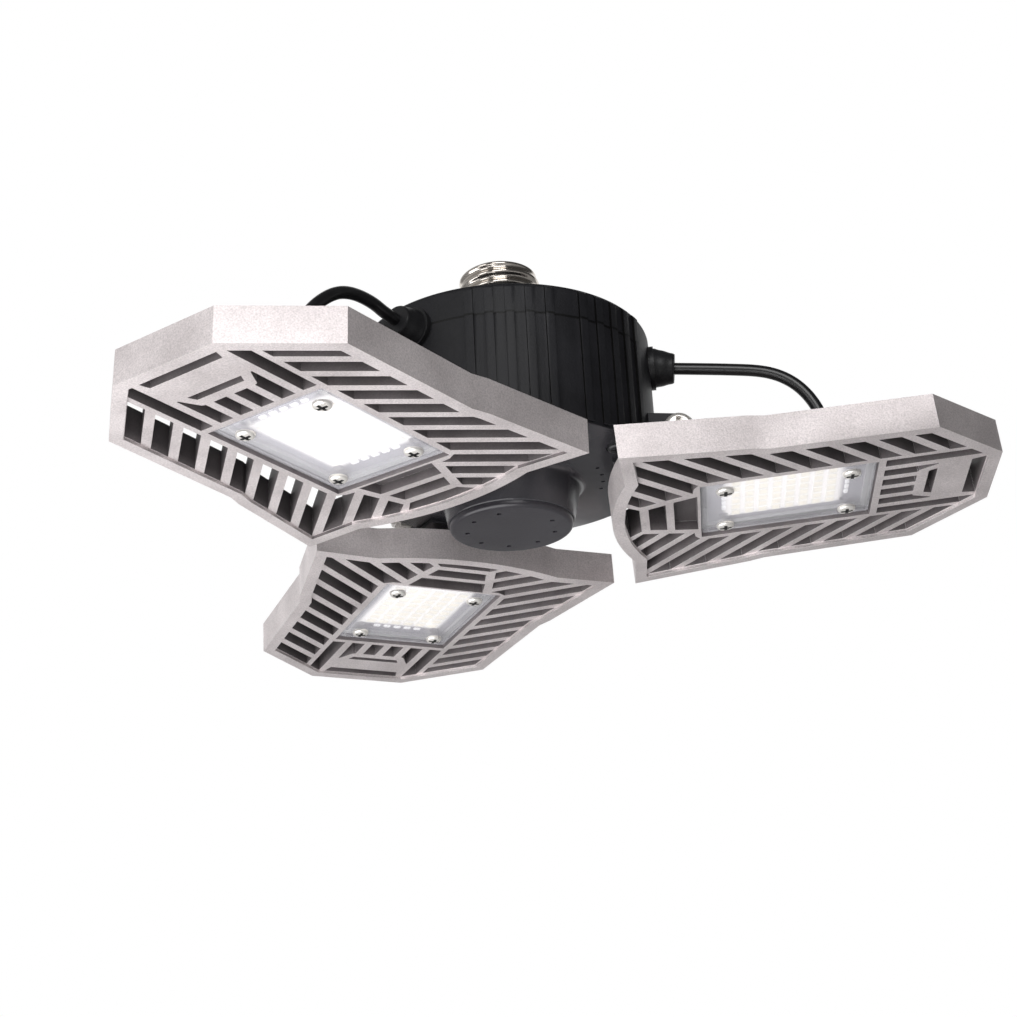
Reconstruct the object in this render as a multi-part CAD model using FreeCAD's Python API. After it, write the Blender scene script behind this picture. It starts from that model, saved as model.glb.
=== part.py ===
import FreeCAD, Part
import math
import os

# A screw-in garage light with three hinged panels. Millimetres and degrees.
# The origin is the tip of the centre contact and +Z points up into the socket.
# Panel 1 points along +X; panels 2 and 3 follow at 120 degree steps.

Vector = FreeCAD.Vector
ORIGIN = Vector(0, 0, 0)
UP = Vector(0, 0, 1)

# ------------------------------------------------------------- driving dimensions
# Screw base
contact_radius = 4.8
contact_height = 1.2
contact_stem_radius = 1.6
contact_seat = 0.8
insulator_height = 2.6
insulator_depth = 3.0
insulator_radius = 9.6
shell_height = 22.0
shell_crest_radius = 13.1
shell_wall = 0.8
shell_shoulder = 1.4
thread_depth = 1.0
thread_pitch = 3.63
thread_turns = 4
collar_radius = 15.6
collar_height = 5.7
spigot_height = 11.0
lead_bore_radius = 8.0

# Drum: top cover and housing
drum_radius = 46.8
drum_wall = 2.4
lid_height = 10.5
lid_thickness = 2.6
lid_edge_round = 2.0
lip_height = 2.0
lip_wall = 1.8
housing_height = 33.7
rib_height = 0.8
rib_width = 2.6
rib_pitch = 6.05
rib_offset = 5.5
ribs_per_side = 5
post_radius = 3.2
post_inset = 1.0
post_turn = 90.0

# Panel carrier: underside, neck, hinge ears
carrier_edge = 1.0
underside_fall = 2.2
neck_root_radius = 22.3
neck_end_radius = 19.7
neck_height = 12.1
neck_wall = 2.0
neck_fillet = 3.0
pad_reach = 13.8
pad_depth = 1.0
vent_radius = 0.65
vent_inset = 7.0
vent_pitch = 5.5
vent_count = 4

# Bottom cap
cap_radius = 19.2
cap_thickness = 2.0
cap_edge = 1.2
cap_skirt = 4.0
cap_wall = 1.4
cap_hole_ring = 13.85
cap_hole_radius = 0.75
cap_hole_count = 9
cap_hole_phase = 20.0
cap_hole_bare = 7

# Hinge
pivot_gap = 7.2
pivot_rise = 6.2
ear_radius = 5.0
ear_thickness = 5.0
ear_top_rise = 12.6
ear_root = 4.4
ear_tail = 0.6
lug_width = 13.8
lug_radius = 5.4
lug_foot_in = 6.2
lug_foot_out = 10.5
bolt_radius = 2.5
bolt_head_radius = 4.5
bolt_head_height = 2.8
bolt_tail = 1.0
washer_radius = 4.8
washer_thickness = 1.0
nut_flat = 8.0
nut_height = 4.0
nut_collar_height = 1.2
tilts = [3.3, -2.2, 1.3]

# Panel casting, measured outwards from the line through its inner corners
panel_drop = 24.5
pivot_inset = 19.7
panel_wall = 10.5
rim_width = 4.0
lip_width = 3.8
lip_step = 1.0
corner_half = 52.3
notch_depth = 0.9
notch_half = 31.6
inner_bow = 4.6
shoulder_in_x = 37.9
shoulder_in_half = 45.9
shoulder_out_x = 43.1
shoulder_out_half = 44.2
side_end_x = 91.2
side_end_half = 42.6
panel_length = 112.4
panel_end_half = 17.6

# Lattice
fin_angle = 50.0
fin_pitch = 10.2
slot_width = 5.0
first_slot_x = -12.8
slot_count = 11
boss_wall = 2.3
spoke_width = 2.7
spoke_rise = 4.9
spoke_fall = 2.9
spoke_joint_x = 5.3
spoke_shoulder = 3.6
spoke_lean = 0.3
hub_cell_half = 8.5
first_cell = (-0.7, 0.3, 4.2)
first_cell_rise = 3.9
second_cell = (6.9, 12.2)
second_cell_rise = 1.7
blind_cell_low_x = 14.6
blind_cell_rises = (2.8, 4.9)
blind_cell_wall = 1.0
blind_cell_depth = 3.0
grille_slot = 4.6
grille_gap = 2.8
grille_length = 10.2
cross_gap = 3.4
cross_width = 2.55
cross_half_in = 8.3
cross_half_out = 9.6
hook_corners = (0.4, 1.1, 0.5)
end_slot_width = 4.2
end_slot_half_in = 12.9
end_slot_half_out = 14.0

# Lens, LED board and their screws
lens_centre_x = 49.4
lens_length = 53.0
lens_width = 41.0
lens_thickness = 2.0
lens_recess = 1.65
gasket_width = 2.4
gasket_thickness = 1.25
board_thickness = 1.6
lens_screw_span_x = 38.0
lens_screw_span_y = 27.8
lens_screw_radius = 1.5
lens_screw_head = 2.7
lens_screw_head_height = 1.5
lens_screw_length = 7.6
chip_length = 3.5
chip_width = 2.8
chip_height = 0.75
chip_columns = 8
chip_rows = 6
chip_pitch_x = 4.2
chip_pitch_y = 4.6
chip_shift = 0.6

# Glands, cables and grommets
cable_radius = 1.9
gland_radius = 7.0
gland_tip_radius = 4.6
gland_collar = 1.4
gland_length = 7.0
gland_neck_radius = 5.0
gland_flange = 1.4
grommet_x = 65.4
grommet_radius = 5.0
grommet_tip_radius = 3.2
grommet_height = 5.0
grommet_plug_radius = 3.6
boot_angles = [-6.5, -3.0, 4.0]

# Driver
board_gap = 1.5
driver_board_thickness = 1.6
standoff_height = 8.0
standoff_radius = 2.8
standoff_inset = 4.5
board_screw_radius = 1.4
board_screw_head = 2.6
board_screw_head_height = 1.6
board_screw_length = 6.4
transformer_size = [24.0, 20.0, 17.0]
transformer_core_height = 12.0
transformer_step = 3.0
part_gap = 2.0
capacitor_radius = 5.0
capacitor_height = 18.0
inductor_radius = 5.6
inductor_section = 2.4
inductor_gap = 1.0
rectifier_size = [15.0, 4.0, 10.0]
rectifier_gap = 3.0
housing_screw_radius = 1.6
housing_screw_head = 3.0
housing_screw_head_height = 1.6
housing_screw_length = 14.0
lead_radius = 1.1
lead_gap = 0.6
lead_dive = 9.0
lead_sag = 16.0
lead_drop = 8.0
phase_spot = (21.0, 14.0)
neutral_spot = (-24.0, -8.0)
output_inset = 5.0
output_turns = (6.0, 14.0)

# Clearances
fit_gap = 0.1
running_gap = 0.05
drawn_gap = 0.3

# Points that each cable passes between its gland and its grommet: distance from the
# drum's axis and height from the drum's top.
cable_points = [
    [(72.1, -13.4), (81.0, -14.7), (86.8, -16.8), (91.6, -20.2), (95.3, -24.8), (98.0, -30.4)],
    [(69.6, -11.4), (77.6, -12.2), (84.2, -14.4), (89.9, -18.1), (94.4, -23.1), (97.5, -29.2)],
    [(64.2, -8.6), (69.8, -8.6), (75.2, -9.5), (80.4, -11.6), (85.6, -15.4), (90.6, -20.2),
     (95.2, -26.4), (98.4, -33.2)],
]
cable_first_run = [7.6, 8.0, 5.2]
cable_last_run = 7.0

# ------------------------------------------------------------- levels and places
shell_top_z = -contact_height - insulator_height
shell_foot_z = shell_top_z - shell_height
lid_top_z = shell_foot_z - collar_height
seam_z = lid_top_z - lid_height
carrier_z = seam_z - housing_height
edge_z = carrier_z - carrier_edge
neck_root_z = edge_z - underside_fall
neck_end_z = neck_root_z - neck_height
cap_z = neck_end_z - cap_thickness
drum_inside = drum_radius - drum_wall
pivot_radius = drum_radius + pivot_gap
pivot_z = carrier_z + pivot_rise
lug_half = lug_width / 2
ear_inside = lug_half + fit_gap + washer_thickness
ear_outside = ear_inside + ear_thickness
azimuths = [0, 120, 240]
gap_azimuths = [60, 180, 300]
post_azimuths = [azimuth + post_turn for azimuth in azimuths]
post_ring = drum_inside - post_radius - post_inset
board_radius = post_ring - post_radius - board_gap
standoff_ring = board_radius - standoff_inset
vent_ring = neck_root_radius + vent_inset
lens_low_x = lens_centre_x - lens_length / 2
lens_high_x = lens_centre_x + lens_length / 2
lens_half = lens_width / 2
gasket_z = lens_recess + lens_thickness
led_board_z = gasket_z + gasket_thickness
floor_z = led_board_z + board_thickness
driver_board_z = carrier_z + standoff_height
board_top_z = driver_board_z + driver_board_thickness


# ------------------------------------------------------------- shape helpers
def flat(a, b):
    return Vector(a, b, 0)


def upright(a, b):
    return Vector(a, 0, b)


def unit(a, b):
    size = math.hypot(a, b)
    return a / size, b / size


def rounded_wire(corners, place):
    """Closed wire through corners (a, b) or (a, b, radius), put in space by place(a, b)."""
    stops = []
    for i, corner in enumerate(corners):
        a, b = corner[0], corner[1]
        if len(corner) == 2:
            stops.append([(a, b)])
            continue
        before = corners[i - 1]
        after = corners[(i + 1) % len(corners)]
        u = unit(before[0] - a, before[1] - b)
        v = unit(after[0] - a, after[1] - b)
        half = math.acos(u[0] * v[0] + u[1] * v[1]) / 2
        reach = corner[2] / math.tan(half)
        middle = unit(u[0] + v[0], u[1] + v[1])
        depth = corner[2] / math.sin(half) - corner[2]
        stops.append([(a + u[0] * reach, b + u[1] * reach),
                      (a + middle[0] * depth, b + middle[1] * depth),
                      (a + v[0] * reach, b + v[1] * reach)])
    edges = []
    for i, stop in enumerate(stops):
        if len(stop) == 3:
            edges.append(Part.Arc(*[place(*point) for point in stop]).toShape())
        start = place(*stop[-1])
        end = place(*stops[(i + 1) % len(stops)][0])
        edges.append(Part.LineSegment(start, end).toShape())
    return Part.Wire(edges)


def plan_face(corners):
    return Part.Face(rounded_wire(corners, flat))


def turned(corners):
    """Solid of revolution about Z from corners (radius, height) or (radius, height, round)."""
    return Part.Face(rounded_wire(corners, upright)).revolve(ORIGIN, UP, 360)


def side_plate(corners, low_y, high_y):
    """Plate between two values of y, from corners (x, z) or (x, z, round)."""
    face = Part.Face(rounded_wire(corners, upright))
    face.translate(Vector(0, low_y, 0))
    return face.extrude(Vector(0, high_y - low_y, 0))


def post(radius, low_z, high_z, x=0, y=0):
    return Part.makeCylinder(radius, high_z - low_z, Vector(x, y, low_z), UP)


def tube(outer, inner, low_z, high_z):
    return post(outer, low_z, high_z).cut(post(inner, low_z - 1, high_z + 1))


def rod_y(radius, low_y, high_y, x, z):
    return Part.makeCylinder(radius, high_y - low_y, Vector(x, low_y, z), Vector(0, 1, 0))


def block(low, high):
    size = [high[i] - low[i] for i in range(3)]
    return Part.makeBox(size[0], size[1], size[2], Vector(*low))


def at_azimuth(shape, azimuth):
    copy = shape.copy()
    copy.rotate(ORIGIN, UP, azimuth)
    return copy


def polar(ring, azimuth):
    angle = math.radians(azimuth)
    return ring * math.cos(angle), ring * math.sin(angle)


def ring_posts(radius, low_z, high_z, ring, angles):
    return [post(radius, low_z, high_z, *polar(ring, angle)) for angle in angles]


def pan_screw(head_radius, head_height, shank_radius, length, place, direction):
    """Pan-head screw with a cross recess; place is under the head, the shank follows direction."""
    shank = post(shank_radius, -length, 0)
    head = post(head_radius, 0, head_height)
    head = head.makeFillet(head_height * 0.6, [edge for edge in head.Edges
                                               if edge.BoundBox.ZMin > head_height - 0.01])
    arm = head_radius * 0.62
    slot = head_radius * 0.15
    cross = block((-arm, -slot, head_height * 0.4), (arm, slot, head_height + 1))
    cross = cross.fuse(at_azimuth(cross, 90))
    screw = head.cut(cross).fuse(shank)
    screw.Placement = FreeCAD.Placement(place, FreeCAD.Rotation(Vector(0, 0, -1), direction))
    return screw


def save(node, shape):
    solids = shape if isinstance(shape, list) else [shape]
    whole = solids[0] if len(solids) == 1 else Part.makeCompound(solids)
    whole = whole.removeSplitter() if len(solids) == 1 else whole
    whole.exportStep("parts/%s.step" % node)
    print(node, "solids", len(whole.Solids), "valid", whole.isValid(), "volume", round(whole.Volume, 1))


# ------------------------------------------------------------- screw base
def centre_contact():
    button = turned([(0, 0), (contact_radius, 0, 0.6), (contact_radius, -contact_height),
                     (0, -contact_height)])
    stem_foot = shell_top_z - insulator_depth
    return button.fuse(post(contact_stem_radius, stem_foot, -contact_height / 2))


def base_insulator():
    foot = shell_top_z - insulator_depth
    body = turned([(contact_stem_radius, -contact_height),
                   (contact_radius + contact_seat, -contact_height, 0.5),
                   (insulator_radius, shell_top_z), (insulator_radius, foot),
                   (contact_stem_radius, foot)])
    return body


def screw_shell():
    """Threaded cup; the thread is drawn as rings of the thread's depth and pitch."""
    mean = shell_crest_radius - thread_depth / 2
    inside = shell_crest_radius - thread_depth - shell_wall
    thread_top = shell_top_z - shell_shoulder
    half = thread_pitch / 2
    edges = []
    points = [upright(mean, thread_top - i * half) for i in range(2 * thread_turns + 1)]
    for i in range(2 * thread_turns):
        swing = thread_depth / 2 if i % 2 == 0 else -thread_depth / 2
        middle = upright(mean + swing, thread_top - (i + 0.5) * half)
        edges.append(Part.Arc(points[i], middle, points[i + 1]).toShape())
    rest = [points[-1], upright(mean, shell_foot_z), upright(inside, shell_foot_z),
            upright(inside, thread_top), upright(insulator_radius, thread_top),
            upright(insulator_radius, shell_top_z), upright(insulator_radius + shell_wall, shell_top_z),
            points[0]]
    edges += [Part.LineSegment(rest[i], rest[i + 1]).toShape() for i in range(len(rest) - 1)]
    return Part.Face(Part.Wire(edges)).revolve(ORIGIN, UP, 360)


# ------------------------------------------------------------- drum
def rib_sectors():
    """Wedges over the ribs: a mirrored set in each gap between two panels."""
    degrees_per_mm = 180 / math.pi / drum_radius
    width = rib_width * degrees_per_mm
    wedges = []
    for gap in gap_azimuths:
        for i in range(ribs_per_side):
            centre = (rib_offset + i * rib_pitch) * degrees_per_mm
            for side in (-1, 1):
                low_z = carrier_z - 1
                wedge = Part.makeCylinder(drum_radius + 10, lid_top_z + 1 - low_z,
                                          Vector(0, 0, low_z), UP, width)
                wedges.append(at_azimuth(wedge, gap + side * centre - width / 2))
    return Part.makeCompound(wedges)


def gland_bores(radius):
    bore = Part.makeCylinder(radius, 2 * drum_wall + lip_wall + gland_radius,
                             Vector(drum_inside - lip_wall - gland_radius, 0, seam_z), Vector(1, 0, 0))
    return [at_azimuth(bore, azimuth) for azimuth in azimuths]


def top_cover():
    spigot_radius = shell_crest_radius - thread_depth - shell_wall - fit_gap
    crown = turned([(0, lid_top_z), (drum_radius, lid_top_z, lid_edge_round), (drum_radius, seam_z),
                    (drum_inside, seam_z), (drum_inside, lid_top_z - lid_thickness),
                    (0, lid_top_z - lid_thickness)])
    rib_root = drum_inside + drum_wall / 2
    ribs = turned([(rib_root, lid_top_z - fit_gap * 2),
                   (drum_radius + rib_height, lid_top_z - lid_edge_round, lid_edge_round / 2),
                   (drum_radius + rib_height, seam_z), (rib_root, seam_z)])
    lip_top = lid_top_z - lid_thickness / 2
    lip = tube(drum_inside - fit_gap, drum_inside - lip_wall, seam_z - lip_height, lip_top)
    collar = post(collar_radius, lid_top_z - lid_thickness / 2, shell_foot_z)
    spigot = post(spigot_radius, shell_foot_z - 1, shell_foot_z + spigot_height)
    posts = ring_posts(post_radius, carrier_z, lid_top_z - lid_thickness / 2, post_ring, post_azimuths)
    cover = crown.fuse([ribs.common(rib_sectors()), lip, collar, spigot] + posts)
    bore = post(lead_bore_radius, lid_top_z - lid_thickness - 1, shell_foot_z + spigot_height + 1)
    pilot_top = carrier_z + housing_screw_length
    pilots = ring_posts(housing_screw_radius, carrier_z - 1, pilot_top, post_ring, post_azimuths)
    cover = cover.cut([bore] + pilots + gland_bores(gland_neck_radius))
    return cover.cut([at_azimuth(lip_window(), azimuth) for azimuth in azimuths])


def lip_window():
    """Room in the cover's lip for a gland's inner flange."""
    reach = gland_neck_radius + gland_flange + drawn_gap
    return block((drum_inside - lip_wall - 4, -reach, seam_z - reach),
                 (drum_inside - 0.01, reach, seam_z + reach))


def drum_housing():
    wall = tube(drum_radius, drum_inside, carrier_z, seam_z)
    ribs = tube(drum_radius + rib_height, drum_inside + drum_wall / 2, carrier_z, seam_z)
    return wall.fuse(ribs.common(rib_sectors())).cut(gland_bores(gland_neck_radius))


# ------------------------------------------------------------- panel carrier
def underside_z(radius):
    share = (drum_radius - radius) / (drum_radius - neck_root_radius)
    return edge_z - underside_fall * share


def hinge_ears():
    """Two plates outside the drum and the pad that joins them on the underside."""
    inner = drum_radius - pad_reach
    outer = drum_radius + fit_gap
    low = underside_z(drum_radius) - pad_depth
    ear_foot = drum_radius - ear_root
    corners = [(ear_foot, carrier_z - 0.5), (ear_foot, carrier_z + ear_top_rise),
               (pivot_radius, pivot_z + ear_radius), (pivot_radius, pivot_z - ear_radius),
               (outer, low - ear_tail), (ear_foot, low - ear_tail / 3)]
    wheel = rod_y(ear_radius, -ear_outside, ear_outside, pivot_radius, pivot_z)
    ears = side_plate(corners, -ear_outside, ear_outside).fuse(wheel)
    gap = block((drum_radius + fit_gap, -ear_inside, low - 10),
                (pivot_radius + 10, ear_inside, lid_top_z))
    ears = ears.cut([post(drum_radius, carrier_z, lid_top_z), gap])
    pad = side_plate([(inner, edge_z), (inner, underside_z(inner) - pad_depth, 0.5), (outer, low),
                      (outer, edge_z)], -ear_outside, ear_outside)
    bolt_hole = rod_y(bolt_radius + fit_gap, -ear_outside - 1, ear_outside + 1, pivot_radius, pivot_z)
    return ears.fuse(pad).cut(bolt_hole)


def panel_carrier():
    plate = turned([(neck_root_radius - neck_wall, carrier_z), (drum_radius, carrier_z),
                    (drum_radius, edge_z, 0.4), (neck_root_radius, neck_root_z, neck_fillet),
                    (neck_end_radius, neck_end_z, 0.5), (neck_end_radius - neck_wall, neck_end_z),
                    (neck_root_radius - neck_wall, neck_root_z)])
    rail = tube(drum_inside - fit_gap, drum_inside - lip_wall, carrier_z - 0.5, carrier_z + lip_height)
    rail = rail.cut(ring_posts(post_radius + drawn_gap, carrier_z, carrier_z + lip_height + 1,
                               post_ring, post_azimuths))
    standoffs = ring_posts(standoff_radius, carrier_z - 0.5, driver_board_z, standoff_ring, gap_azimuths)
    ears = [at_azimuth(hinge_ears(), azimuth) for azimuth in azimuths]
    carrier = plate.fuse([rail] + standoffs + ears)
    low = neck_end_z - 1
    holes = ring_posts(housing_screw_radius + fit_gap, low, carrier_z + 1, post_ring, post_azimuths)
    holes += ring_posts(housing_screw_head + drawn_gap, low, edge_z, post_ring, post_azimuths)
    holes += ring_posts(board_screw_radius, carrier_z, driver_board_z + 1, standoff_ring, gap_azimuths)
    step = math.degrees(vent_pitch / vent_ring)
    for azimuth in azimuths:
        angles = [azimuth + (i - (vent_count - 1) / 2) * step for i in range(vent_count)]
        holes += ring_posts(vent_radius, low, carrier_z + 1, vent_ring, angles)
    return carrier.cut(holes)


def bottom_cap():
    disc = turned([(0, neck_end_z), (cap_radius, neck_end_z), (cap_radius, cap_z, cap_edge),
                   (0, cap_z)])
    skirt_radius = neck_end_radius - neck_wall - fit_gap
    skirt = tube(skirt_radius, skirt_radius - cap_wall, neck_end_z - 0.5, neck_end_z + cap_skirt)
    angles = [cap_hole_phase + i * 360 / cap_hole_count for i in range(cap_hole_count)
              if i != cap_hole_bare]
    return disc.fuse(skirt).cut(ring_posts(cap_hole_radius, cap_z - 1, neck_end_z + 1,
                                           cap_hole_ring, angles))


def housing_screws():
    return [pan_screw(housing_screw_head, housing_screw_head_height, housing_screw_radius,
                      housing_screw_length, Vector(*polar(post_ring, azimuth), edge_z), UP)
            for azimuth in post_azimuths]


# ------------------------------------------------------------- driver
def driver_board():
    board = post(board_radius, driver_board_z, board_top_z)
    return board.cut(ring_posts(board_screw_radius + fit_gap, driver_board_z - 1, board_top_z + 1,
                                standoff_ring, gap_azimuths))


def board_screws():
    return [pan_screw(board_screw_head, board_screw_head_height, board_screw_radius,
                      board_screw_length,
                      Vector(*polar(standoff_ring, azimuth), board_top_z), Vector(0, 0, -1))
            for azimuth in gap_azimuths]


def transformer():
    length, width, height = transformer_size
    step = transformer_step
    winding = block((-length / 2, -width / 2 + step, board_top_z),
                    (length / 2, width / 2 - step, board_top_z + height))
    core_low = board_top_z + (height - transformer_core_height) / 2
    core = block((-length / 2 + step, -width / 2, core_low),
                 (length / 2 - step, width / 2, core_low + transformer_core_height))
    return winding.fuse(core)


def bulk_capacitors():
    reach = transformer_size[1] / 2 + capacitor_radius + part_gap
    cans = []
    for x in (-capacitor_radius - part_gap / 2, capacitor_radius + part_gap / 2):
        can = post(capacitor_radius, board_top_z, board_top_z + capacitor_height, x, reach)
        top = [edge for edge in can.Edges if edge.BoundBox.ZMin > board_top_z + capacitor_height - 0.01]
        cans.append(can.makeFillet(0.6, top))
    return cans


def filter_inductor():
    y = -transformer_size[1] / 2 - inductor_radius - inductor_section - inductor_gap
    ring = Part.makeTorus(inductor_radius, inductor_section, Vector(0, y, board_top_z + inductor_section))
    foot = post(inductor_radius, board_top_z, board_top_z + inductor_section, 0, y)
    return ring.fuse(foot)


def bridge_rectifier():
    length, width, height = rectifier_size
    x = transformer_size[0] / 2 + rectifier_gap
    return block((x, -length / 2, board_top_z), (x + width, length / 2, board_top_z + height))


# ------------------------------------------------------------- cables and leads
def tangent_path(points):
    """Straight runs joined by the largest tangent arcs; gives the wire and its least radius."""
    edges = []
    least = None
    start = points[0]
    for i in range(1, len(points) - 1):
        back = points[i - 1] - points[i]
        ahead = points[i + 1] - points[i]
        shorter = min(back.Length, ahead.Length)
        reach = 0.45 * shorter
        half_turn = (math.pi - back.getAngle(ahead)) / 2
        radius = reach / math.tan(half_turn)
        least = radius if least is None else min(least, radius)
        u = back.normalize()
        v = ahead.normalize()
        first = points[i] + u * reach
        last = points[i] + v * reach
        middle = (u + v).normalize()
        depth = radius / math.cos(half_turn) - radius
        edges.append(Part.LineSegment(start, first).toShape())
        edges.append(Part.Arc(first, points[i] + middle * depth, last).toShape())
        start = last
    edges.append(Part.LineSegment(start, points[-1]).toShape())
    return Part.Wire(edges), least


def cable_tube(name, points, radius):
    path, least = tangent_path(points)
    direction = points[1] - points[0]
    profile = Part.Wire(Part.makeCircle(radius, points[0], direction))
    solid = path.makePipeShell([profile], True, False)
    expected = math.pi * radius ** 2 * path.Length
    print(name, "length %.1f least radius %.1f volume ratio %.4f"
          % (path.Length, least, solid.Volume / expected))
    return solid


def gland_tip(index):
    angle = math.radians(boot_angles[index])
    return Vector(drum_radius + gland_collar / 2 + gland_length * math.cos(angle), 0,
                  seam_z + gland_length * math.sin(angle))


def cable_gland(index):
    """Rubber strain relief clamped in the seam: inner flange, neck, collar, tapered boot."""
    along = Vector(1, 0, 0)
    low = drum_inside - lip_wall
    start = Vector(low, 0, seam_z)
    collar = Part.makeCylinder(gland_radius, gland_collar + drum_wall, Vector(drum_inside, 0, seam_z), along)
    collar = collar.cut(post(drum_radius, seam_z - 20, seam_z + 20))
    neck = Part.makeCylinder(gland_neck_radius, drum_radius + gland_collar - low, start, along)
    flange = Part.makeCylinder(gland_neck_radius + gland_flange, drum_wall, start, along)
    flange = flange.common(post(drum_inside, seam_z - 20, seam_z + 20))
    angle = math.radians(boot_angles[index])
    boot = Part.makeCone(gland_radius - 0.6, gland_tip_radius, gland_length,
                         Vector(drum_radius + gland_collar / 2, 0, seam_z),
                         Vector(math.cos(angle), 0, math.sin(angle)))
    boot = boot.cut(post(drum_radius, seam_z - 20, seam_z + 20))
    return collar.fuse([neck, flange, boot])


def panel_point(x, y, z, index):
    """A point of a level panel, x from its corner line and z from its rim, at its rest tilt."""
    point = FreeCAD.Vector(x - pivot_inset, y, z - panel_drop)
    turn = FreeCAD.Rotation(Vector(0, -1, 0), tilts[index])
    return turn.multVec(point) + Vector(pivot_radius, 0, pivot_z)


def cable(index):
    start = gland_tip(index)
    angle = math.radians(boot_angles[index])
    first = start + Vector(math.cos(angle), 0, math.sin(angle)) * cable_first_run[index]
    end = panel_point(grommet_x, 0, panel_wall + grommet_height, index)
    last = panel_point(grommet_x, 0, panel_wall + grommet_height + cable_last_run, index)
    middle = [Vector(x, 0, lid_top_z + z) for x, z in cable_points[index]]
    return cable_tube("cable_%d" % (index + 1), [start, first] + middle + [last, end], cable_radius)


def mains_leads():
    stem_foot = Vector(0, 0, shell_top_z - insulator_depth)
    middle = shell_foot_z + spigot_height
    dive_z, sag_z, drop_z = lid_top_z - lead_dive, lid_top_z - lead_sag, board_top_z + lead_drop
    spot = phase_spot
    phase = [stem_foot, stem_foot + Vector(0, 0, -lead_drop),
             Vector(2 * lead_radius, 2 * lead_radius, middle - lead_drop),
             Vector(2 * lead_radius, 3 * lead_radius, dive_z),
             Vector(spot[0] * 0.76, spot[1] * 0.86, sag_z), Vector(*spot, drop_z), Vector(*spot, board_top_z)]
    tab = shell_crest_radius - thread_depth - shell_wall - lead_radius
    drop = lead_bore_radius - lead_radius - lead_gap
    spot = neutral_spot
    neutral = [Vector(-tab, 0, shell_top_z - insulator_depth - lead_radius),
               Vector(-tab, 0, middle + 4 * lead_radius), Vector(-drop, 0, middle + lead_radius),
               Vector(-drop, lead_radius / 2, dive_z), Vector(spot[0] * 0.79, spot[1] * 0.75, sag_z),
               Vector(*spot, drop_z), Vector(*spot, board_top_z)]
    return [cable_tube("phase_lead", phase, lead_radius), cable_tube("neutral_lead", neutral, lead_radius)]


def output_leads():
    """The part of each cable inside the drum, from its gland down to the driver board."""
    foot_x = board_radius - output_inset
    start_x = drum_inside - lip_wall
    first, second = output_turns
    points = [Vector(start_x, 0, seam_z), Vector(start_x - first, 0, seam_z),
              Vector(foot_x + lead_radius, 0, seam_z - first), Vector(foot_x, 0, seam_z - second),
              Vector(foot_x, 0, board_top_z)]
    lead = cable_tube("output_lead", points, lead_radius)
    return [at_azimuth(lead, azimuth) for azimuth in azimuths]


# ------------------------------------------------------------- hinge hardware
def hinge_bolt():
    length = 2 * ear_outside + nut_height + nut_collar_height + bolt_tail
    return pan_screw(bolt_head_radius, bolt_head_height, bolt_radius, length,
                     Vector(pivot_radius, -ear_outside, pivot_z), Vector(0, 1, 0))


def hinge_nut():
    corner = nut_flat / math.sqrt(3)
    corners = [(pivot_radius + corner * math.cos(math.radians(60 * i)),
                pivot_z + corner * math.sin(math.radians(60 * i))) for i in range(6)]
    hexagon = side_plate(corners, ear_outside, ear_outside + nut_height)
    collar = rod_y(nut_flat * 0.46, ear_outside + nut_height - 0.5,
                   ear_outside + nut_height + nut_collar_height, pivot_radius, pivot_z)
    bore = rod_y(bolt_radius, ear_outside - 1, ear_outside + nut_height + 5, pivot_radius, pivot_z)
    return hexagon.fuse(collar).cut(bore)


def hinge_washers():
    washers = []
    for low in (-ear_inside, ear_inside - washer_thickness):
        washer = rod_y(washer_radius, low, low + washer_thickness, pivot_radius, pivot_z)
        washers.append(washer.cut(rod_y(bolt_radius + fit_gap, low - 1, low + washer_thickness + 1,
                                        pivot_radius, pivot_z)))
    return washers


# ------------------------------------------------------------- panels
def panel_outline():
    """Outer edge of a panel casting; the inner end bows towards the hub between two notches."""
    half = [(0, corner_half), (shoulder_in_x, shoulder_in_half), (shoulder_out_x, shoulder_out_half),
            (side_end_x, side_end_half), (panel_length, panel_end_half)]
    points = half + [(x, -y) for x, y in reversed(half)]
    points = [(notch_depth, notch_half)] + points + [(notch_depth, -notch_half)]
    edges = [Part.LineSegment(flat(*points[i]), flat(*points[i + 1])).toShape()
             for i in range(len(points) - 1)]
    edges.append(Part.Arc(flat(*points[-1]), flat(-inner_bow, 0), flat(*points[0])).toShape())
    return Part.Face(Part.Wire(edges))


def mirrored(face):
    return face.mirror(ORIGIN, Vector(0, 1, 0))


def chamfer_x(y):
    """Where the inside of the slanted outer wall stands at height y."""
    slope = (panel_length - side_end_x) / (side_end_half - panel_end_half)
    shift = rim_width * math.hypot(1, slope)
    return side_end_x + slope * (side_end_half - y) - shift


def side_slots(field):
    """Slanted slots beside the lens, from the inner end to the slanted outer wall."""
    lean = 1 / math.tan(math.radians(fin_angle))
    run = slot_width / math.sin(math.radians(fin_angle))
    slots = []
    for i in range(slot_count):
        foot = first_slot_x + i * fin_pitch + lean * notch_half
        top = foot - lean * corner_half
        band = plan_face([(foot, 0), (foot + run, 0), (top + run, corner_half), (top, corner_half)])
        slots += band.common(field).Faces
    return slots


def side_field(inside):
    """The region that the slanted slots may open: above the lens boss and the inner spoke."""
    low = lens_half + boss_wall
    spoke_x = lens_low_x - boss_wall
    outside = -2 * inner_bow
    spoke_half = hub_cell_half + spoke_width
    edge = [(outside, spoke_half - spoke_fall), (spoke_joint_x, spoke_half),
            (spoke_x, spoke_half + spoke_rise), (spoke_x + spoke_lean, low - spoke_shoulder),
            (lens_low_x, low), (panel_length, low), (panel_length, corner_half + 1),
            (outside, corner_half + 1)]
    return inside.common(plan_face(edge))


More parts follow.
